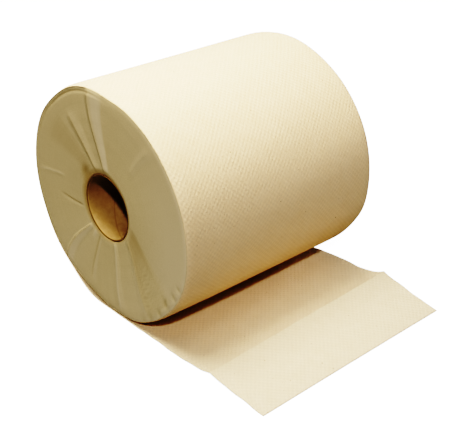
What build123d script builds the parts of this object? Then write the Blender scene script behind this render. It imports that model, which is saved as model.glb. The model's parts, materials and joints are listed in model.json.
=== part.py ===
"""Paper towel roll lying on its side, with its free end drawn out along the floor.

Millimetres, +Z up. The roll's axis runs along Y, the free end runs out along +X, and the
origin is on the floor under the middle of the core's axis.
"""
from build123d import *
import math
import os

# Driving dimensions: the web and the roll it is wound into
WEB_WIDTH = 203.0          # width of the towel, and so the length of the roll
WEB_THICKNESS = 0.3        # one layer of embossed towel
LONG_RADIUS = 103.2        # the soft roll is slightly oval in section
SHORT_RADIUS = 98.8
OVAL_TILT = -12.0          # angle of the oval's long axis from +X, degrees
FLAT_DEPTH = 0.6           # how far the roll's own weight flattens it underneath
ROLL_SHIFT_X = -2.0        # middle of the wound turns, measured from the core's axis
ROLL_SHIFT_Z = 0.7

# The cardboard core
CORE_BORE_RADIUS = 27.0
CORE_WALL = 1.5
CORE_RECESS = 0.5          # how far each end of the core lies inside the end of the roll

# The outermost turn, which stands off the roll on its lower left side
LOOSE_START_ANGLE = 196.0  # where it leaves the wound turns, degrees
LOOSE_GAP = 1.3            # widest gap between it and the turns beneath it
LOOSE_FLOOR_X = -16.0      # where it comes down on the floor

# The free end, drawn out along the floor with one cross crease
TAIL_ROOT_X = 25.0         # the web lies flat on the floor as far as this, under the roll
TAIL_END_X = 183.0
CREASE_X = 124.0
NEAR_CREASE_HEIGHT = 1.8   # height of the crease over the floor at the -Y edge
FAR_CREASE_HEIGHT = 11.5   # and at the +Y edge, which the crease lifts
FAR_LIFT = 4.5             # how far the +Y edge stands off the floor before the crease

CORE_RADIUS = CORE_BORE_RADIUS + CORE_WALL
CORE_LENGTH = WEB_WIDTH - 2 * CORE_RECESS
NEAR_END = Plane.XZ.offset(WEB_WIDTH / 2)      # faces -Y
FAR_END = Plane.XZ.offset(-WEB_WIDTH / 2)

# The roll sits on the lowest layer of the web, flattened a little where it rests
OVAL_REACH_DOWN = math.hypot(
    LONG_RADIUS * math.sin(math.radians(OVAL_TILT)),
    SHORT_RADIUS * math.cos(math.radians(OVAL_TILT)),
)
ROLL_X = ROLL_SHIFT_X
ROLL_Z = WEB_THICKNESS + OVAL_REACH_DOWN - FLAT_DEPTH
AXIS_HEIGHT = ROLL_Z - ROLL_SHIFT_Z


def roll_radius(angle):
    """Distance from the roll's middle to its oval outline, in the direction of angle."""
    turned = math.radians(angle - OVAL_TILT)
    across = SHORT_RADIUS * math.cos(turned)
    along = LONG_RADIUS * math.sin(turned)
    return LONG_RADIUS * SHORT_RADIUS / math.hypot(across, along)


def point_off_roll(angle, gap):
    """A point in the section, gap outside the wound turns in the direction of angle."""
    reach = roll_radius(angle) + gap
    turned = math.radians(angle)
    return (ROLL_X + reach * math.cos(turned), ROLL_Z + reach * math.sin(turned))


def raised(point):
    """The same place on the web's upper face."""
    return (point[0], point[1] + WEB_THICKNESS)


def tail_curves(crease_height, lift):
    """Control points of the drawn-out web at one edge, before the crease and after it."""
    length_before = CREASE_X - TAIL_ROOT_X
    before = [
        (TAIL_ROOT_X, 0.0),
        (TAIL_ROOT_X + 0.25 * length_before, 2 * lift),
        (TAIL_ROOT_X + 0.65 * length_before, 0.0),
        (CREASE_X, crease_height),
    ]
    length_after = TAIL_END_X - CREASE_X
    after = [
        (CREASE_X, crease_height),
        (CREASE_X + 0.14 * length_after, 0.45 * crease_height),
        (CREASE_X + 0.53 * length_after, 0.35 * crease_height),
        (TAIL_END_X, 0.0),
    ]
    return before, after


with BuildPart() as core:
    with BuildSketch(NEAR_END.offset(-CORE_RECESS)):
        with Locations((0, AXIS_HEIGHT)):
            Circle(CORE_RADIUS)
            Circle(CORE_BORE_RADIUS, mode=Mode.SUBTRACT)
    extrude(amount=-CORE_LENGTH)

with BuildPart() as paper_roll:
    # The wound turns are one oval block, flat where they rest on the lowest layer
    with BuildSketch(NEAR_END):
        with Locations((ROLL_X, ROLL_Z)):
            Ellipse(LONG_RADIUS, SHORT_RADIUS, rotation=OVAL_TILT)
        with Locations((ROLL_X, WEB_THICKNESS)):
            Rectangle(
                2 * LONG_RADIUS,
                LONG_RADIUS,
                align=(Align.CENTER, Align.MAX),
                mode=Mode.SUBTRACT,
            )
    extrude(amount=-WEB_WIDTH)

    # The loose outermost turn comes away from the block, down to the floor and under the roll
    with BuildSketch(NEAR_END):
        lower = [
            point_off_roll(LOOSE_START_ANGLE, -WEB_THICKNESS * 2),
            point_off_roll(LOOSE_START_ANGLE + 19, LOOSE_GAP / 2 + WEB_THICKNESS),
            point_off_roll(LOOSE_START_ANGLE + 39, LOOSE_GAP + WEB_THICKNESS),
            point_off_roll(LOOSE_START_ANGLE + 54, LOOSE_GAP + WEB_THICKNESS),
            (LOOSE_FLOOR_X, 0.0),
        ]
        upper = [
            point_off_roll(LOOSE_START_ANGLE, -WEB_THICKNESS * 3),
            point_off_roll(LOOSE_START_ANGLE + 19, LOOSE_GAP / 2),
            point_off_roll(LOOSE_START_ANGLE + 39, LOOSE_GAP),
            point_off_roll(LOOSE_START_ANGLE + 54, LOOSE_GAP),
            (LOOSE_FLOOR_X, WEB_THICKNESS),
        ]
        with BuildLine():
            Spline(*lower, tangents=[(-0.5, -1), (1, 0)])
            Line(lower[-1], (TAIL_ROOT_X, 0))
            Line((TAIL_ROOT_X, 0), (TAIL_ROOT_X, WEB_THICKNESS))
            Line((TAIL_ROOT_X, WEB_THICKNESS), upper[-1])
            Spline(*upper, tangents=[(-0.5, -1), (1, 0)])
            Line(upper[0], lower[0])
        make_face()
    extrude(amount=-WEB_WIDTH)

    # The drawn-out end, from the flat stretch to its cut edge, between its two side edges
    for plane, crease_height, lift in (
        (NEAR_END, NEAR_CREASE_HEIGHT, 0.0),
        (FAR_END, FAR_CREASE_HEIGHT, FAR_LIFT),
    ):
        before, after = tail_curves(crease_height, lift)
        with BuildSketch(plane):
            with BuildLine():
                Bezier(*before)
                Bezier(*after)
                Line(after[-1], raised(after[-1]))
                Bezier(*[raised(point) for point in reversed(after)])
                Bezier(*[raised(point) for point in reversed(before)])
                Line(raised(before[0]), before[0])
            make_face()
    loft(ruled=True)

    # The hole that the core fills
    with BuildSketch(NEAR_END):
        with Locations((0, AXIS_HEIGHT)):
            Circle(CORE_RADIUS)
    extrude(amount=-WEB_WIDTH, mode=Mode.SUBTRACT)

os.makedirs("parts", exist_ok=True)

core.part.label = "core"
export_step(core.part, "parts/core.step")

paper_roll.part.label = "paper_roll"
export_step(paper_roll.part, "parts/paper_roll.step")
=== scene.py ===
import json
import math

import bpy
import numpy as np
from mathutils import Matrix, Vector


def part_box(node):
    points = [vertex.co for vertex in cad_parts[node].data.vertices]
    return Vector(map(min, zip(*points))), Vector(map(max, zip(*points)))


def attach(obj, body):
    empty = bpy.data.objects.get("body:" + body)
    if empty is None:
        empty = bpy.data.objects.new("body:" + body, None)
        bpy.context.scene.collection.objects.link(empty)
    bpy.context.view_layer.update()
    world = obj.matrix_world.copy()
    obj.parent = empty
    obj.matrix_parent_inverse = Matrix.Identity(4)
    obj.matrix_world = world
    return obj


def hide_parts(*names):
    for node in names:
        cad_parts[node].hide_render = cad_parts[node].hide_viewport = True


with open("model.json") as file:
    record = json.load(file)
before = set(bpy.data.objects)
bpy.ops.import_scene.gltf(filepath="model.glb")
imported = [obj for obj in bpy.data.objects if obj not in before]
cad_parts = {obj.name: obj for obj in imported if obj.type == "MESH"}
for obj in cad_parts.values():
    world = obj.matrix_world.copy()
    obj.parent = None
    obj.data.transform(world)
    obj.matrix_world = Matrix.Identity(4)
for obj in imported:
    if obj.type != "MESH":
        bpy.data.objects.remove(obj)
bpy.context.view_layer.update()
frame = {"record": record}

# ---------------------------------------------------------------- sizes, in millimetres
MM = 0.001
roll_low, roll_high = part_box("paper_roll")
core_low, core_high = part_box("core")
bore = next(m for m in frame["record"]["mounts"] if m["name"] == "core_bore")

HALF_WIDTH = (roll_high[1] - roll_low[1]) / 2 / MM     # half the web's width
TAIL_END_X = roll_high[0] / MM                         # the cut end of the web
AXIS_HEIGHT = bore["pos_m"][2] / MM                    # the core's axis over the floor
BORE_RADIUS = bore["dims"]["r_mm"]
CORE_LENGTH = bore["dims"]["length_mm"]
CORE_RADIUS = (core_high[2] - core_low[2]) / 2 / MM
WEB_THICKNESS = 0.3                                    # one layer of embossed towel
CLEARANCE = 0.04                                       # air between touching surfaces

# the oval outline of the roll, as in the CAD
LONG_RADIUS = 103.2
SHORT_RADIUS = 98.8
OVAL_TILT = math.radians(-12.0)
ROLL_X = -2.0
ROLL_Z = AXIS_HEIGHT + 0.7

# where the web's outermost turn begins, stands off, comes down and runs out
TURN_START = math.radians(-84.0)
TURN_END = math.radians(231.0)
LOOSE_START = math.radians(196.0)
LOOSE_RAMP = math.radians(30.0)    # it reaches its full gap over this angle
LOOSE_GAP = 1.3
LOOSE_FLOOR_X = -16.0              # it meets the floor here
TAIL_ROOT_X = 25.0                 # and lies flat as far as here
CREASE_X = 124.0
# the crease stands a little higher than in the CAD solid, so that the light shows it
NEAR_CREASE_HEIGHT = 4.6
FAR_CREASE_HEIGHT = 12.5
FAR_LIFT = 3.0             # how far the far edge stands off the floor before the crease

RIM_ROUND = 4.0                                        # how far in the rims are rounded
RIM_DROP = 1.5                                         # and by how much at the near end
FAR_RIM_DROP = 0.5                                     # and at the far end
RIM_INSET = 0.7                                        # the outer turns lie this far inside

NEAR, FAR = -1.0, 1.0                                  # the two ends of the roll, along Y


def ease(t):
    """0 to 1 with a flat start and end."""
    t = np.clip(t, 0.0, 1.0)
    return t * t * (3 - 2 * t)


def bump(distance, width):
    """1 at distance 0, falling smoothly to nothing past about two widths."""
    return np.exp(-((distance / width) ** 2))


def turned_from(angle, middle):
    """Signed difference of two angles, in radians, between -pi and pi."""
    return (angle - middle + math.pi) % (2 * math.pi) - math.pi


# ---------------------------------------------------------------- the roll's outline
# Soft dents and swellings of the outline:
# (angle, half width, both in degrees, height in mm, which end, reach along Y in mm)
SWELLINGS = [
    (84, 11, -1.9, NEAR, 60),
    (128, 14, -1.0, NEAR, 70),
    (252, 20, -2.3, NEAR, 34),
    (291, 9, 1.3, NEAR, 30),
    (318, 12, -1.1, NEAR, 40),
    (341, 10, 1.1, FAR, 60),
    (60, 16, -0.7, FAR, 60),
]


def outline(angle, y):
    """Radius of the roll, over the outermost turn, at an angle and a place along Y."""
    a = angle - OVAL_TILT
    radius = LONG_RADIUS * SHORT_RADIUS / np.hypot(
        SHORT_RADIUS * np.cos(a), LONG_RADIUS * np.sin(a)
    )
    for degrees, half, height, end, reach in SWELLINGS:
        off = turned_from(angle, math.radians(degrees))
        from_end = np.abs(y - end * HALF_WIDTH)
        radius = radius + height * bump(off, math.radians(half)) * bump(from_end, reach)
    radius = radius + 0.12 * np.sin(5 * angle + 0.021 * y)
    radius = radius + 0.10 * np.sin(11 * angle - 0.034 * y + 1.0)
    # the rims are rounded where the cut edges have been handled
    edge = HALF_WIDTH - np.abs(y)
    drop = RIM_DROP if y < 0 else FAR_RIM_DROP
    return radius - drop * np.exp(-edge / (0.6 * RIM_ROUND))


def on_roll(angle, radius):
    """X and Z of a point of the roll."""
    return ROLL_X + radius * np.cos(angle), ROLL_Z + radius * np.sin(angle)


# ---------------------------------------------------------------- meshes
def make_mesh(name, points, faces, uvs=None):
    """A mesh object from numpy points in millimetres, smooth shaded."""
    mesh = bpy.data.meshes.new(name)
    mesh.from_pydata((points * MM).tolist(), [], faces.tolist())
    mesh.validate()
    mesh.shade_smooth()
    if uvs is not None:
        layer = mesh.uv_layers.new(name="web")
        corners = np.empty(len(mesh.loops), dtype=np.int32)
        mesh.loops.foreach_get("vertex_index", corners)
        layer.data.foreach_set("uv", uvs[corners].astype(np.float32).ravel())
    obj = bpy.data.objects.new(name, mesh)
    bpy.context.scene.collection.objects.link(obj)
    return obj


def grid_faces(rows, columns, first=0, close_columns=False, close_rows=False):
    """Quads of a grid of points numbered row by row."""
    r = np.arange(rows if close_rows else rows - 1)
    c = np.arange(columns if close_columns else columns - 1)
    r, c = np.meshgrid(r, c, indexing="ij")
    r2, c2 = (r + 1) % rows, (c + 1) % columns
    corners = [r * columns + c, r * columns + c2, r2 * columns + c2, r2 * columns + c]
    return first + np.stack([x.ravel() for x in corners], axis=1)


def add_attribute(obj, name, values):
    """A number at each vertex that the material can read."""
    layer = obj.data.attributes.new(name, "FLOAT", "POINT")
    layer.data.foreach_set("value", values.astype(np.float32))


# ---------------------------------------------------------------- the wound turns
# Creases that fan out from the core over one end of the roll. Each has its angle in
# degrees at the core, half way and at the rim, then the radii it runs between and its
# height in mm, the widths in degrees of its clockwise and its anticlockwise flank, and how
# much lighter (or darker, below 0) than the rest those flanks and the line itself are painted.
# This is painted light and shade: flanks and ridges facing the light are painted lighter,
# flanks turned away and the grooves of the lines are painted darker.
NEAR_CREASES = [
    (86, 99, 97, 29, 102, 0.75, 11.5, 2.5, 0.20, -0.10, -0.26),     # tall fold at the top
    (80, 92, 90, 30, 99, 0.10, 5.5, 5.5, 0.50, 0.40, 0.00),         # its bright facet
    (108, 121, 124, 28, 84, 0.45, 10.0, 4.0, 0.10, -0.08, -0.22),
    (116, 134, 140, 30, 90, 0.00, 6.0, 20.0, -0.10, -0.14, 0.00),   # its left side, in painted shade
    (166, 174, 180, 56, 99, 0.15, 1.5, 2.5, 0.00, 0.00, 0.35),      # light scratch, left
    (200, 189, 184, 31, 68, -0.20, 1.5, 4.0, 0.00, 0.15, -0.35),
    (229, 225, 231, 30, 104, 0.80, 2.0, 7.0, -0.10, 0.42, -0.35),   # curved fold, lower left
    (240, 243, 244, 28, 46, 0.30, 3.0, 5.0, 0.00, 0.35, 0.25),
    (253, 250, 253, 29, 88, -0.30, 2.0, 5.0, 0.05, 0.20, -0.35),
    (290, 279, 280, 29, 99, 0.45, 5.0, 6.0, -0.05, 0.12, 0.50),     # light line, bottom
    (326, 306, 304, 29, 98, 0.35, 5.0, 8.0, 0.05, -0.08, -0.12),
    (342, 318, 317, 31, 100, 0.00, 14.0, 16.0, -0.30, -0.30, 0.00), # painted shade over a sector, lower right
    (346, 333, 335, 31, 90, -0.12, 9.0, 6.0, -0.10, 0.00, 0.00),
    (44, 50, 46, 52, 98, 0.25, 5.0, 3.0, 0.10, 0.00, 0.00),
]
FAR_CREASES = [
    (30, 36, 34, 30, 98, 0.60, 9.0, 3.0, 0.35, -0.10, -0.50),
    (74, 70, 78, 34, 90, -0.35, 3.0, 4.0, 0.10, 0.00, -0.40),
    (118, 124, 121, 30, 104, 0.80, 3.0, 12.0, -0.15, 0.40, -0.60),
    (166, 160, 163, 30, 84, 0.35, 4.5, 2.5, 0.20, 0.00, 0.30),
    (208, 214, 210, 36, 98, -0.40, 2.5, 4.5, 0.00, 0.20, -0.40),
    (262, 258, 264, 30, 92, 0.40, 8.0, 10.0, -0.20, -0.25, 0.00),
    (310, 316, 312, 30, 80, 0.45, 3.0, 5.0, 0.00, 0.25, 0.35),
]
LINE_WIDTH = 1.1           # half width of a crease's own line, in mm

# Small pushed-in dents beside the rim, painted darker as their shade: angle in degrees, radius,
# size, depth in mm
NEAR_DENTS = [
    (322, 94.0, 3.2, 1.0),
    (331, 96.5, 2.6, 0.8),
    (338, 98.0, 2.4, 0.7),
    (304, 96.5, 2.6, 0.8),
    (313, 96.0, 2.6, 0.9),
    (297, 98.0, 2.2, 0.6),
]
PINCH_ANGLE, PINCH_RADIUS = 138, 34.0      # brown pinched fold beside the hole
NEAR_CRUSHED_ANGLE, FAR_CRUSHED_ANGLE = 316, 250   # middles of the crushed parts, in degrees


def crease_line(crease, radius):
    """Angle of a crease's line at a radius: a curve through its three angles."""
    t = (radius - CORE_RADIUS) / (LONG_RADIUS - CORE_RADIUS)
    inner, middle, rim = (math.radians(a) for a in crease[:3])
    return inner * (1 - t) * (1 - 2 * t) + middle * 4 * t * (1 - t) + rim * t * (2 * t - 1)


def crease_shape(creases, angle, radius):
    """(height in mm, painted light and shade) of all the creases at places on the end of the
    roll.
    """
    height, light = np.zeros_like(radius), np.zeros_like(radius)
    for crease in creases:
        start, end, rise, right, left, right_light, left_light, line_light = crease[3:]
        off = turned_from(angle, crease_line(crease, radius))
        width = np.radians(np.where(off < 0, right, left))
        ends = ease((radius - start) / 6) * ease((end - radius) / 12)
        far_off = np.abs(off) / width
        height += rise * np.clip(1 - far_off, 0, 1) * ends
        side_light = np.where(off < 0, right_light, left_light)
        light += side_light * ease((1 - far_off) / 0.45) * ends
        light += line_light * bump(off * radius, LINE_WIDTH) * ends
    return height, light


def crushed_ripples(end, angle, radius):
    """Fine ripples across the fan of folds, where an end of the roll is crushed."""
    middle = math.radians(NEAR_CRUSHED_ANGLE if end == NEAR else FAR_CRUSHED_ANGLE)
    where = bump(turned_from(angle, middle), 0.30)
    where = where * ease((radius - 45) / 30) * ease((100 - radius) / 8)
    ripple = np.sin(1.9 * radius + 31 * angle + 3 * np.sin(0.23 * radius + 17 * angle))
    return ripple * np.sin(0.31 * radius - 23 * angle) * where


def near_end_marks(angle, radius, rim):
    """(height in mm, lightness with painted light and shade) of the marks that the photograph
    shows on the near end.
    """
    height, light = np.zeros_like(radius), np.zeros_like(radius)
    for degrees, middle, size, depth in NEAR_DENTS:
        off = radius * turned_from(angle, math.radians(degrees))
        slant = off + 0.35 * (radius - middle)
        dent = bump(slant, size) * bump(radius - middle, size * 1.3)
        # each dent is sunk and painted darker: painted shade
        height -= 0.5 * depth * dent
        light -= 0.42 * depth * dent
    off = radius * turned_from(angle, math.radians(PINCH_ANGLE))
    pinch = bump(off, 7.0) * bump(radius - PINCH_RADIUS, 4.5)
    height -= 0.5 * pinch
    light -= 0.6 * pinch
    # a groove just inside the proud outer turns at the top left, sunk and painted darker as its
    # shade
    top_left = bump(turned_from(angle, math.radians(122)), math.radians(30))
    height -= 0.45 * top_left * bump(radius - rim + 3.0, 0.9)
    light -= 0.3 * top_left * bump(radius - rim + 2.6, 1.2)
    # painted light: the smooth right side, towards the lamps, and its rounded rim are painted
    # lighter; the lower left is a little lighter too
    right = bump(turned_from(angle, math.radians(-14)), math.radians(66))
    light += 0.52 * right * ease((radius - 30) / 60) - 0.04
    light += 0.30 * right * ease((radius - rim + 5) / 5)
    light += 0.12 * bump(turned_from(angle, math.radians(232)), math.radians(18))
    return height, light


def end_shape(end, angle, radius, rim):
    """(how far the end of the roll stands out in mm, painted light and shade) for one ring of
    points.
    """
    relief, light = crease_shape(NEAR_CREASES if end == NEAR else FAR_CREASES, angle, radius)
    ripples = crushed_ripples(end, angle, radius)
    relief += 0.07 * ripples
    # painted shade: the ripples are painted lighter where they stand out and darker where they
    # sink
    light += 0.15 * ripples
    # slow waves over the face
    relief += 0.16 * np.sin(3 * angle + 0.05 * radius + end)
    relief += 0.03 * np.sin(0.45 * radius + 1.2 * np.sin(2 * angle))
    if end == NEAR:
        marks, marks_light = near_end_marks(angle, radius, rim)
        relief += marks
        light += marks_light
    # the rim is rounded over, and the middle is pulled in a little round the core
    over = np.clip((radius - rim + RIM_ROUND) / RIM_ROUND, 0, 1)
    relief -= 0.5 * over**2.2
    return relief - 0.4 * bump(radius - CORE_RADIUS, 2.5) - 0.3, light


# The wound turns are one layer smaller where the web covers them, which is everywhere but
# between these two angles at the bottom.
COVER_START = math.pi * 1.5
COVER_END = math.radians(262.0)
COVER_STEP = 0.06

TURN_COLUMNS = 600                         # points round the wound turns
EDGE_STEPS = np.array([0.4, 1.0, 2.0, 3.6, 6.0, 9.0, 13.0])    # mm from a rim, on the side


def end_rings(plain, rim):
    """Shares of the way from the hole to the rim, closer together at the rounded rim."""
    close = 1 - 0.06 * np.linspace(0.9, 0, rim) ** 1.3
    return np.concatenate([np.linspace(0, 0.93, plain), close])


def hole_radius(angle):
    """The hole is round about the core's axis, and this is seen from the roll's middle."""
    hole = CORE_RADIUS + CLEARANCE
    core_dx, core_dz = -ROLL_X, AXIS_HEIGHT - ROLL_Z
    along = core_dx * np.cos(angle) + core_dz * np.sin(angle)
    across = core_dx * np.sin(angle) - core_dz * np.cos(angle)
    return along + np.sqrt(hole**2 - across**2)


def web_cover(angle):
    """How much room the outermost turn needs here: the wound turns are smaller by it."""
    after_start = ease((angle - COVER_START) / COVER_STEP)
    before_end = ease((COVER_END - angle) / COVER_STEP)
    return (WEB_THICKNESS + 2 * CLEARANCE) * np.clip(after_start + before_end, 0, 1)


def wound_turns():
    """The solid body of wound turns: two creased ends, the side and the hole."""
    angle = np.arange(TURN_COLUMNS) * 2 * math.pi / TURN_COLUMNS
    middle = np.linspace(-HALF_WIDTH + 18, HALF_WIDTH - 18, 26)
    side_y = np.concatenate([-HALF_WIDTH + EDGE_STEPS, middle, (HALF_WIDTH - EDGE_STEPS)[::-1]])
    inner = hole_radius(angle)
    cover = web_cover(angle)
    loops, tags, lights = [], [], []

    def add_loop(radius, y, light=0.0):
        x, z = on_roll(angle, radius)
        z = np.maximum(z, WEB_THICKNESS + CLEARANCE)
        loops.append(np.stack([x, np.broadcast_to(y, x.shape), z], axis=1))
        tags.append(radius)
        lights.append(np.broadcast_to(light, x.shape))

    def add_end(end, shares):
        rim = outline(angle, end * HALF_WIDTH) - cover
        for share in shares:
            radius = inner + (rim - inner) * share
            relief, light = end_shape(end, angle, radius, rim)
            add_loop(radius, end * (HALF_WIDTH + relief), light)

    add_end(NEAR, end_rings(58, 8))
    for y in side_y:
        add_loop(outline(angle, y) - cover, y)
    add_end(FAR, end_rings(28, 6)[::-1])
    for y in np.linspace(HALF_WIDTH - 4, -HALF_WIDTH + 4, 5):
        add_loop(inner, y)

    faces = grid_faces(len(loops), TURN_COLUMNS, close_columns=True, close_rows=True)
    obj = make_mesh("wound_turns", np.concatenate(loops), faces)
    add_attribute(obj, "turn_radius", np.concatenate(tags))
    add_attribute(obj, "lightness", np.concatenate(lights))
    return obj


# ---------------------------------------------------------------- the web's outer turn
def bezier(p0, p1, p2, p3, t):
    """A cubic Bezier curve."""
    s = 1 - t
    return p0 * s**3 + 3 * p1 * s * s * t + 3 * p2 * s * t * t + p3 * t**3


def stand_off(angle):
    """How far the outermost turn stands off the turns beneath it."""
    return LOOSE_GAP * ease((angle - LOOSE_START) / LOOSE_RAMP)


def tail_waves(x, y):
    """Slight buckles of the free end, none where it lies under the roll."""
    free = ease((x - 40) / 60)
    across = y / HALF_WIDTH
    wave = 0.35 * np.sin(0.075 * x + 2.2 * across) * (0.4 + 0.6 * across**2)
    wave += 0.22 * np.sin(0.19 * x - 1.3 * across + 0.7) * np.abs(across) ** 3
    return free * (wave + 0.35)


def web_path(y):
    """The outer face of the web at one place across it, from its start to its cut end."""
    share = (y / HALF_WIDTH + 1) / 2
    angle = np.linspace(TURN_START, TURN_END, 236)
    radius = outline(angle, y) + stand_off(angle)
    x, z = on_roll(angle, radius)
    # at the bottom of the roll it lies over the layer that runs out along the floor
    z = np.maximum(z, WEB_THICKNESS * 2 + 2 * CLEARANCE)

    # down to the floor from the lower left
    step = np.array([x[-1] - x[-2], z[-1] - z[-2]])
    step /= np.hypot(*step)
    reach = 0.4 * math.hypot(x[-1] - LOOSE_FLOOR_X, z[-1])
    t = np.linspace(0, 1, 24)[1:]
    down_x = bezier(x[-1], x[-1] + step[0] * reach, LOOSE_FLOOR_X - reach, LOOSE_FLOOR_X, t)
    down_z = bezier(z[-1], z[-1] + step[1] * reach, 0.0, 0.0, t)

    # flat under the roll
    flat_x = np.linspace(LOOSE_FLOOR_X, TAIL_ROOT_X, 14)[1:]
    flat_z = np.zeros_like(flat_x)

    # up to the crease, steeply at last, and down to the cut end
    crease = NEAR_CREASE_HEIGHT + (FAR_CREASE_HEIGHT - NEAR_CREASE_HEIGHT) * share
    lift = FAR_LIFT * share**1.5
    t = 1 - (1 - np.linspace(0, 1, 70)[1:]) ** 1.5
    rise_x = TAIL_ROOT_X + (CREASE_X - TAIL_ROOT_X) * t
    rise_z = crease * (0.15 * t**2 + 0.85 * t**7) + lift * 4 * t * (1 - t) * ease(t / 0.3)
    t = np.linspace(0, 1, 56)[1:] ** 1.5
    fall_x = CREASE_X + (TAIL_END_X - CREASE_X) * t
    fall_z = crease * (0.90 * (1 - t) ** 1.1 + 0.10 * (1 - t) ** 9)

    tail_x = np.concatenate([rise_x, fall_x])
    tail_z = np.concatenate([rise_z, fall_z])
    tail_z = np.maximum(tail_z + tail_waves(tail_x, y), 0.0)
    all_x = np.concatenate([x, down_x, flat_x, tail_x])
    all_z = np.concatenate([z, down_z, flat_z, tail_z])
    return all_x, all_z


def web_row(y):
    """(outer face, inner face, UVs in metres) of the web at one place across it."""
    x, z = web_path(y)
    dx, dz = np.gradient(x), np.gradient(z)
    size = np.hypot(dx, dz)
    length = np.concatenate([[0], np.cumsum(np.hypot(np.diff(x), np.diff(z)))])
    from_end = length[-1] - length
    # the slit edges waver along the free end, and lie a little inside the rims on the roll
    waver = 0.22 * np.sin(0.11 * length) + 0.15 * np.sin(0.31 * length + 1)
    free = ease((170 - from_end) / 40)
    wound = 1 - ease((330 - from_end) / 80)
    edge_share = np.sign(y) * (np.abs(y) / HALF_WIDTH) ** 8
    y_row = y + edge_share * (waver * free - RIM_INSET * wound)
    outer = np.stack([x, y_row, z], axis=1)
    # the inner face is to the left of the path
    normal = np.stack([-dz / size, np.zeros_like(x), dx / size], axis=1)
    uvs = np.stack([length, np.full_like(length, y)], axis=1) * MM
    return outer, outer + normal * WEB_THICKNESS, uvs


def strip_edges(rows, columns):
    """Quads round the four edges of a strip whose second face starts after its first."""
    first_row = np.arange(columns)
    last_column = np.arange(1, rows) * columns + columns - 1
    last_row = (rows - 1) * columns + np.arange(columns - 2, -1, -1)
    first_column = np.arange(rows - 2, 0, -1) * columns
    ring = np.concatenate([first_row, last_column, last_row, first_column])
    after = np.roll(ring, -1)
    count = rows * columns
    return np.stack([after, ring, ring + count, after + count], axis=1)


def towel_web():
    """The outermost turn and the free end as one thin strip, and its length in metres."""
    edge = np.array([0, 1.0, 3.0, 6.0])
    across = np.linspace(-HALF_WIDTH + 10, HALF_WIDTH - 10, 50)
    rows_y = np.concatenate([-HALF_WIDTH + edge, across, (HALF_WIDTH - edge)[::-1]])
    outer, inner, uvs = zip(*[web_row(y) for y in rows_y])
    rows, columns = len(rows_y), len(outer[0])
    top = grid_faces(rows, columns)
    under = grid_faces(rows, columns, first=rows * columns)[:, ::-1]
    faces = np.concatenate([top, under, strip_edges(rows, columns)])
    obj = make_mesh("towel_web", np.concatenate(outer + inner), faces, np.concatenate(uvs + uvs))
    # the inner face has the second material
    sides = np.zeros(len(faces), dtype=np.int32)
    sides[len(top):len(top) + len(under)] = 1
    obj.data.polygons.foreach_set("material_index", sides)
    return obj, uvs[rows // 2][-1][0]


# ---------------------------------------------------------------- the core
SEAM_PITCH = 79.0          # how far the core's wound plies advance in one turn
SEAM_Y = -85.0             # a joint of the plies passes this place along Y
SEAM_TURN = 0.68           # at this part of a turn


def core_tube():
    """The cardboard tube, with the spiral joints of its plies and slightly soft rims."""
    columns = 256
    angle = np.arange(columns) * 2 * math.pi / columns
    half = CORE_LENGTH / 2
    inside_y = np.linspace(-half + 0.5, half - 0.5, 120)
    outside_y = np.linspace(half - 0.5, -half + 0.5, 16)
    loops = []

    def add_loop(radius, y):
        x = radius * np.cos(angle)
        z = AXIS_HEIGHT + radius * np.sin(angle)
        loops.append(np.stack([x, np.broadcast_to(y, x.shape), z], axis=1))

    for y in inside_y:
        turn = (angle / (2 * math.pi) + (y - SEAM_Y) / SEAM_PITCH - SEAM_TURN) % 1.0
        off = np.minimum(turn, 1 - turn) * 2 * math.pi * BORE_RADIUS
        groove = 0.22 * bump(off, 0.9)
        add_loop(BORE_RADIUS + groove, y)
    wall = CORE_RADIUS - BORE_RADIUS
    rough = 0.08 * np.sin(9 * angle) + 0.06 * np.sin(23 * angle + 1)
    for share in (0.12, 0.35, 0.65, 0.88):
        add_loop(BORE_RADIUS + wall * share, half + rough * (1 - share))
    for y in outside_y:
        add_loop(np.full_like(angle, CORE_RADIUS), y)
    for share in (0.88, 0.65, 0.35, 0.12):
        add_loop(BORE_RADIUS + wall * share, -half - rough * (1 - share))
    faces = grid_faces(len(loops), columns, close_columns=True, close_rows=True)
    return make_mesh("core_tube", np.concatenate(loops), faces[:, ::-1])


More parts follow.
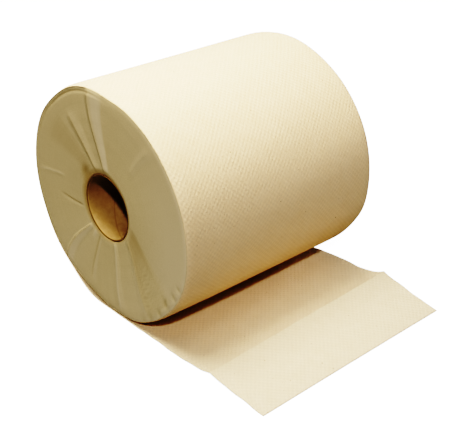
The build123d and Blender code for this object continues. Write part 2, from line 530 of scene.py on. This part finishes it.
# ---------------------------------------------------------------- materials
class Nodes:
    """Short ways to add and join shader nodes in one material."""

    def __init__(self, name):
        self.material = bpy.data.materials.new(name)
        self.material.use_nodes = True
        self.tree = self.material.node_tree
        self.tree.nodes.clear()
        self.shader = self.add("ShaderNodeBsdfPrincipled")
        out = self.add("ShaderNodeOutputMaterial")
        self.join(self.shader.outputs[0], out.inputs["Surface"])

    def add(self, kind, **settings):
        node = self.tree.nodes.new(kind)
        for key, value in settings.items():
            setattr(node, key, value)
        return node

    def join(self, out, into):
        self.tree.links.new(out, into)

    def feed(self, socket, value):
        """Puts a number, a colour or another node's output into a socket."""
        if isinstance(value, bpy.types.NodeSocket):
            self.join(value, socket)
        else:
            socket.default_value = value

    def maths(self, operation, a, b=0.0):
        node = self.add("ShaderNodeMath", operation=operation)
        self.feed(node.inputs[0], a)
        self.feed(node.inputs[1], b)
        return node.outputs[0]

    def noise(self, vector, scale, detail=3.0, roughness=0.5):
        node = self.add("ShaderNodeTexNoise")
        self.join(vector, node.inputs["Vector"])
        self.feed(node.inputs["Scale"], scale)
        self.feed(node.inputs["Detail"], detail)
        self.feed(node.inputs["Roughness"], roughness)
        return node.outputs["Fac"]

    def scaled(self, factor, *values):
        """Each value times the factor."""
        return [self.maths("MULTIPLY", value, factor) for value in values]

    def vector(self, x, y, z):
        node = self.add("ShaderNodeCombineXYZ")
        for socket, value in zip(node.inputs, (x, y, z)):
            self.feed(socket, value)
        return node.outputs[0]

    def split(self, vector):
        node = self.add("ShaderNodeSeparateXYZ")
        self.join(vector, node.inputs[0])
        return node.outputs

    def span(self, value, low, high, new_low=0.0, new_high=1.0):
        """value taken from low..high to new_low..new_high, held inside them."""
        node = self.add("ShaderNodeMapRange")
        self.join(value, node.inputs["Value"])
        for name, number in (
            ("From Min", low),
            ("From Max", high),
            ("To Min", new_low),
            ("To Max", new_high),
        ):
            node.inputs[name].default_value = number
        return node.outputs["Result"]

    def mix(self, share, a, b, blend="MIX"):
        node = self.add("ShaderNodeMix", data_type="RGBA", blend_type=blend)
        self.feed(node.inputs["Factor"], share)
        # the colour sockets A, B and Result
        self.feed(node.inputs[6], a)
        self.feed(node.inputs[7], b)
        return node.outputs[2]

    def bump(self, height, distance, strength=1.0, after=None):
        node = self.add("ShaderNodeBump")
        self.join(height, node.inputs["Height"])
        node.inputs["Distance"].default_value = distance
        node.inputs["Strength"].default_value = strength
        if after is not None:
            self.join(after, node.inputs["Normal"])
        return node.outputs[0]


EMBOSS_PITCH = 3.2         # between the diagonal rows of embossed dots, in mm
EMBOSS_HEIGHT = 0.4        # of the dots, where that of the fibres is 1
CORE_GAP_SHADE_START = 28.5         # radii in mm between which the painted shade round the hole fades out
CORE_GAP_SHADE_END = 33.0

# linear colours
PAPER = (0.89, 0.71, 0.51, 1)
PAPER_DARK = (0.87, 0.68, 0.475, 1)
INNER_PAPER = (0.90, 0.765, 0.595, 1)
INNER_DARK = (0.86, 0.725, 0.55, 1)
PAPER_SPECK = (0.36, 0.24, 0.12, 1)
EDGE_PAPER = (0.86, 0.71, 0.49, 1)
EDGE_DARK = (0.76, 0.62, 0.405, 1)
# painted shade of folds, dents and grooves, and the brown of the pinched fold
EDGE_SHADE_AND_STAIN = (0.43, 0.29, 0.145, 1)
# painted highlight of lit facets, ridges and the right side's rim
EDGE_PAINTED_LIGHT = (0.93, 0.79, 0.60, 1)
# painted shade in the gap where the paper meets the core
EDGE_CORE_GAP_SHADE = (0.42, 0.24, 0.09, 1)
BOARD = (0.60, 0.445, 0.27, 1)
BOARD_DARK = (0.47, 0.32, 0.17, 1)
BOARD_END = (0.36, 0.25, 0.12, 1)


def paper_finish(n):
    """What both papers share: matt, with a faint sheen of loose fibres."""
    n.shader.inputs["Roughness"].default_value = 0.92
    n.shader.inputs["Specular IOR Level"].default_value = 0.15
    n.shader.inputs["Sheen Weight"].default_value = 0.08
    n.shader.inputs["Sheen Roughness"].default_value = 0.6


def web_material(name, paper, dark):
    """Towel with a fine diagonal emboss whose dots carry painted shade, soft mottling and a few
    specks.
    """
    n = Nodes(name)
    uv = n.add("ShaderNodeUVMap", uv_map="web").outputs[0]
    along, across, _ = n.split(uv)
    diagonal = 2 * math.pi / (EMBOSS_PITCH * MM) / math.sqrt(2)
    a = n.maths("MULTIPLY", n.maths("ADD", along, across), diagonal)
    b = n.maths("MULTIPLY", n.maths("SUBTRACT", along, across), diagonal)
    waves = n.maths("ADD", n.maths("COSINE", a), n.maths("COSINE", b))
    dots = n.maths("MULTIPLY", waves, 0.5)
    worn = n.span(n.noise(uv, 110, 4, 0.7), 0.3, 0.7, 0.15, 1.0)
    emboss = n.maths("MULTIPLY", dots, worn)
    fibres = n.noise(uv, 900, 4, 0.65)
    height = n.maths("ADD", n.maths("MULTIPLY", emboss, EMBOSS_HEIGHT), fibres)
    n.join(n.bump(height, 0.00034, 1.0), n.shader.inputs["Normal"])

    mottle = n.span(n.noise(uv, 90, 5, 0.7), 0.3, 0.7)
    colour = n.mix(mottle, paper, dark)
    # painted shade: the emboss's sunk dots are painted darker and its raised ones lighter, over
    # a random tone of the fibres
    relief_and_fibres = n.maths("ADD", emboss, n.maths("MULTIPLY", n.noise(uv, 700, 3, 0.7), 1.6))
    pit_shade_and_fibre_tone = n.span(relief_and_fibres, -0.2, 1.8, 0.93, 1.05)
    colour = n.mix(1.0, colour, n.vector(pit_shade_and_fibre_tone, pit_shade_and_fibre_tone, pit_shade_and_fibre_tone), "MULTIPLY")
    speck = n.span(n.noise(uv, 420, 1, 0.4), 0.775, 0.80, 0.0, 0.7)
    n.join(n.mix(speck, colour, PAPER_SPECK), n.shader.inputs["Base Color"])
    paper_finish(n)
    return n.material


def turns_material():
    """The cut edges of the turns: fine rings, a fan of crush marks, and painted light and shade
    over the folds, dents and rim.
    """
    n = Nodes("towel_cut_edges")
    place = n.add("ShaderNodeTexCoord").outputs["Object"]
    x, _, z = n.split(place)
    x = n.maths("SUBTRACT", x, ROLL_X * MM)
    z = n.maths("SUBTRACT", z, ROLL_Z * MM)
    squares = n.maths("ADD", n.maths("MULTIPLY", x, x), n.maths("MULTIPLY", z, z))
    radius = n.maths("SQRT", squares)
    unit_x, unit_z = n.maths("DIVIDE", x, radius), n.maths("DIVIDE", z, radius)
    drawn = n.add("ShaderNodeAttribute", attribute_name="turn_radius").outputs["Fac"]

    # rings: noise that changes fast along the radius and slowly round the roll
    ring_place = n.vector(n.maths("MULTIPLY", drawn, 1.6), *n.scaled(0.9, unit_x, unit_z))
    rings = n.noise(ring_place, 1.0, 4, 0.7)
    # fan: noise that changes fast round the roll and slowly along the radius
    fan_place = n.vector(*n.scaled(14, unit_x, unit_z), n.maths("MULTIPLY", radius, 22))
    fan = n.noise(fan_place, 1.0, 3, 0.55)
    fine = n.noise(place, 900, 3, 0.6)

    tone = n.maths("ADD", n.maths("MULTIPLY", rings, 0.30), n.maths("MULTIPLY", fan, 0.12))
    tone = n.maths("ADD", tone, n.maths("MULTIPLY", fine, 0.58))
    colour = n.mix(n.span(tone, 0.30, 0.70), EDGE_DARK, EDGE_PAPER)
    # painted light and shade: folds, dents, grooves and rim are painted lighter and darker by
    # the lightness drawn on the end
    light = n.add("ShaderNodeAttribute", attribute_name="lightness").outputs["Fac"]
    colour = n.mix(n.span(light, 0.0, 1.0, 0.0, 0.9), colour, EDGE_PAINTED_LIGHT)
    colour = n.mix(n.span(light, 0.0, -1.0, 0.0, 0.9), colour, EDGE_SHADE_AND_STAIN)
    # painted shade round the hole, where the paper meets the core
    near_hole = n.span(radius, CORE_GAP_SHADE_START * MM, CORE_GAP_SHADE_END * MM, 0.45, 0.0)
    colour = n.mix(near_hole, colour, EDGE_CORE_GAP_SHADE)
    n.join(colour, n.shader.inputs["Base Color"])

    height = n.maths("ADD", n.maths("MULTIPLY", rings, 0.5), n.maths("MULTIPLY", fine, 0.7))
    n.join(n.bump(height, 0.00016, 0.7), n.shader.inputs["Normal"])
    paper_finish(n)
    return n.material


def board_material():
    """Grey-brown cardboard with fibres, and darker lines where the plies meet."""
    n = Nodes("core_board")
    place = n.add("ShaderNodeTexCoord").outputs["Object"]
    x, y, z = n.split(place)
    z = n.maths("SUBTRACT", z, AXIS_HEIGHT * MM)
    angle = n.maths("ARCTAN2", z, x)
    turn = n.maths("DIVIDE", angle, 2 * math.pi)
    advance = n.maths("DIVIDE", n.maths("SUBTRACT", y, SEAM_Y * MM), SEAM_PITCH * MM)
    turns = n.maths("ADD", turn, advance)
    # ten whole turns more keep the number above 0, where FRACT is plain
    ply = n.maths("FRACT", n.maths("ADD", turns, 10 - SEAM_TURN))
    seam = n.maths("MINIMUM", ply, n.maths("SUBTRACT", 1.0, ply))
    line = n.span(seam, 0.0, 0.012, 0.8, 0.0)
    fibres = n.noise(place, 260, 5, 0.65)
    colour = n.mix(n.span(fibres, 0.3, 0.7), BOARD_DARK, BOARD)
    colour = n.mix(0.55, colour, BOARD)
    colour = n.mix(line, colour, BOARD_DARK)
    from_middle = n.maths("ABSOLUTE", y)
    cut_end = n.span(from_middle, (CORE_LENGTH / 2 - 0.6) * MM, (CORE_LENGTH / 2 - 0.3) * MM)
    n.join(n.mix(cut_end, colour, BOARD_END), n.shader.inputs["Base Color"])
    n.join(n.bump(fibres, 0.0003, 0.6), n.shader.inputs["Normal"])
    n.shader.inputs["Roughness"].default_value = 0.85
    n.shader.inputs["Specular IOR Level"].default_value = 0.25
    return n.material


# ---------------------------------------------------------------- studio
CAMERA_AZIMUTH = math.radians(48.03)       # from in front of the near end, towards +X
CAMERA_ELEVATION = math.radians(28.2)
CAMERA_DISTANCE = 0.8235
CAMERA_TARGET = Vector((0.0322, 0.0, 0.0681))
LENS = 76.26

# The key makes the clear shadow inside the core, and two soft boxes light the rest.
KEY_TOWARDS = (0.82, -0.66, 1.0)
KEY_STRENGTH = 2.2
KEY_DEGREES = 3.5
LAMP_COLOUR = (1.0, 0.975, 0.87)
TOP_PLACE = Vector((-0.035, -0.12, 0.70))
TOP_WATTS = 6.1
SIDE_PLACE = Vector((0.26, -0.14, 0.72))
SIDE_WATTS = 1.7
BOX_SIZE = 0.3

# Two low fills light the back and the far end, which the photograph doesn't show.
LEFT_FILL_TOWARDS = (-1, 0.13, 0.05)
LEFT_FILL_STRENGTH = 1.8
FAR_FILL_TOWARDS = (-0.25, 0.97, 0.05)
FAR_FILL_STRENGTH = 2.2
FILL_DEGREES = 14.0

WORLD_COLOUR = (0.80, 0.94, 1.0, 1)
WORLD_STRENGTH = 0.13
WORLD_GLOW = 4.0           # what the camera sees of the world: over white
FLOOR_COLOUR = (0.33, 0.34, 0.35, 1)
FLOOR_GLOW = 3.0           # what the camera sees of the floor besides its own light
FLOOR_HALF = 30000.0       # mm: far enough that its edge never shows
FLOOR_UNDER = -0.05        # mm: just clear of the web


def add_camera():
    """The photograph's camera."""
    data = bpy.data.cameras.new("camera")
    data.sensor_fit = "HORIZONTAL"
    data.sensor_width = 36.0
    data.lens = LENS
    data.clip_start = 0.01
    data.clip_end = 50
    camera = bpy.data.objects.new("camera", data)
    bpy.context.scene.collection.objects.link(camera)
    level = math.cos(CAMERA_ELEVATION)
    towards = Vector((
        level * math.sin(CAMERA_AZIMUTH),
        -level * math.cos(CAMERA_AZIMUTH),
        math.sin(CAMERA_ELEVATION),
    ))
    camera.location = CAMERA_TARGET + CAMERA_DISTANCE * towards
    camera.rotation_euler = (-towards).to_track_quat("-Z", "Y").to_euler()
    bpy.context.scene.camera = camera


def add_sun(name, towards, strength, degrees):
    """A distant lamp that shines from the direction towards."""
    data = bpy.data.lights.new(name, "SUN")
    data.energy = strength
    data.angle = math.radians(degrees)
    lamp = bpy.data.objects.new(name, data)
    bpy.context.scene.collection.objects.link(lamp)
    lamp.rotation_euler = Vector(towards).to_track_quat("Z", "Y").to_euler()


def add_softbox(name, place, watts):
    """A square lamp that faces the roll."""
    data = bpy.data.lights.new(name, "AREA")
    data.color = LAMP_COLOUR
    data.shape = "SQUARE"
    data.size = BOX_SIZE
    data.energy = watts
    lamp = bpy.data.objects.new(name, data)
    bpy.context.scene.collection.objects.link(lamp)
    lamp.location = place
    towards = place - Vector((0, 0, AXIS_HEIGHT * MM))
    lamp.rotation_euler = towards.to_track_quat("Z", "Y").to_euler()


# The photograph's strong contrast: what is darker than BLACK_LEVEL goes to black over a
# short TOE, and what is lighter rolls off softly towards white.
BLACK_LEVEL = 0.26
TOE = 0.066
ROLL_OFF = 2.14
BRIGHTEST = 3.2


def tone(light):
    """The picture's brightness for a brightness in the scene, both linear."""
    over = (light - BLACK_LEVEL + math.hypot(light - BLACK_LEVEL, TOE)) / 2
    over -= (math.hypot(BLACK_LEVEL, TOE) - BLACK_LEVEL) / 2
    return over / (1 + over**ROLL_OFF) ** (1 / ROLL_OFF)


def photo_tone(scene):
    """Sets the view's tone curve, which changes the picture and no material."""
    view = scene.view_settings
    view.view_transform = "Standard"
    view.use_curve_mapping = True
    mapping = view.curve_mapping
    mapping.white_level = (BRIGHTEST,) * 3
    curve = mapping.curves[3]                  # the one for all three colours
    for light in (0.1, 0.17, 0.22, 0.26, 0.3, 0.36, 0.45, 0.6, 0.8, 1.0, 1.3, 1.7, 2.1, 2.5):
        curve.points.new(light / BRIGHTEST, tone(light))
    curve.points[len(curve.points) - 1].location[1] = 1.0      # white stays white
    mapping.update()


def camera_only(n, strength):
    """A strength that only the camera sees, so that it lights nothing."""
    path = n.add("ShaderNodeLightPath")
    return n.maths("MULTIPLY", path.outputs["Is Camera Ray"], strength)


def add_world(scene):
    """White all round to the camera, and a little cool light from all round on the roll."""
    world = bpy.data.worlds.new("studio")
    world.use_nodes = True
    tree = world.node_tree
    background = tree.nodes["Background"]
    background.inputs["Color"].default_value = WORLD_COLOUR
    path = tree.nodes.new("ShaderNodeLightPath")
    strength = tree.nodes.new("ShaderNodeMapRange")
    tree.links.new(path.outputs["Is Camera Ray"], strength.inputs["Value"])
    strength.inputs["To Min"].default_value = WORLD_STRENGTH
    strength.inputs["To Max"].default_value = WORLD_GLOW
    tree.links.new(strength.outputs["Result"], background.inputs["Strength"])
    scene.world = world


def add_floor():
    """A plain floor, white to the camera, that shows only a faint shadow."""
    n = Nodes("floor_white")
    n.shader.inputs["Base Color"].default_value = FLOOR_COLOUR
    n.shader.inputs["Roughness"].default_value = 0.9
    n.shader.inputs["Specular IOR Level"].default_value = 0.0
    n.shader.inputs["Emission Color"].default_value = (1.0, 1.0, 1.0, 1)
    n.join(camera_only(n, FLOOR_GLOW), n.shader.inputs["Emission Strength"])
    corners = ((-1, -1), (1, -1), (1, 1), (-1, 1))
    points = np.array([(x * FLOOR_HALF, y * FLOOR_HALF, FLOOR_UNDER) for x, y in corners])
    floor = make_mesh("floor", points, np.array([[0, 1, 2, 3]]))
    floor.data.materials.append(n.material)


def studio():
    """Floor, surroundings, a clear lamp from the right, two soft ones above, two low fills."""
    scene = bpy.context.scene
    photo_tone(scene)
    add_world(scene)
    add_floor()
    add_sun("key", KEY_TOWARDS, KEY_STRENGTH, KEY_DEGREES)
    add_sun("left_fill", LEFT_FILL_TOWARDS, LEFT_FILL_STRENGTH, FILL_DEGREES)
    add_sun("far_fill", FAR_FILL_TOWARDS, FAR_FILL_STRENGTH, FILL_DEGREES)
    add_softbox("top", TOP_PLACE, TOP_WATTS)
    add_softbox("side", SIDE_PLACE, SIDE_WATTS)


# ---------------------------------------------------------------- build
turns = wound_turns()
turns.data.materials.append(turns_material())
web, web_length = towel_web()
web.data.materials.append(web_material("towel_outside", PAPER, PAPER_DARK))
web.data.materials.append(web_material("towel_inside", INNER_PAPER, INNER_DARK))
core = core_tube()
core.data.materials.append(board_material())

for piece, node, slot in (
    (turns, "paper_roll", "towel"),
    (web, "paper_roll", "towel"),
    (core, "core", "cardboard"),
):
    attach(piece, "root")
    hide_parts(node)

studio()
add_camera()
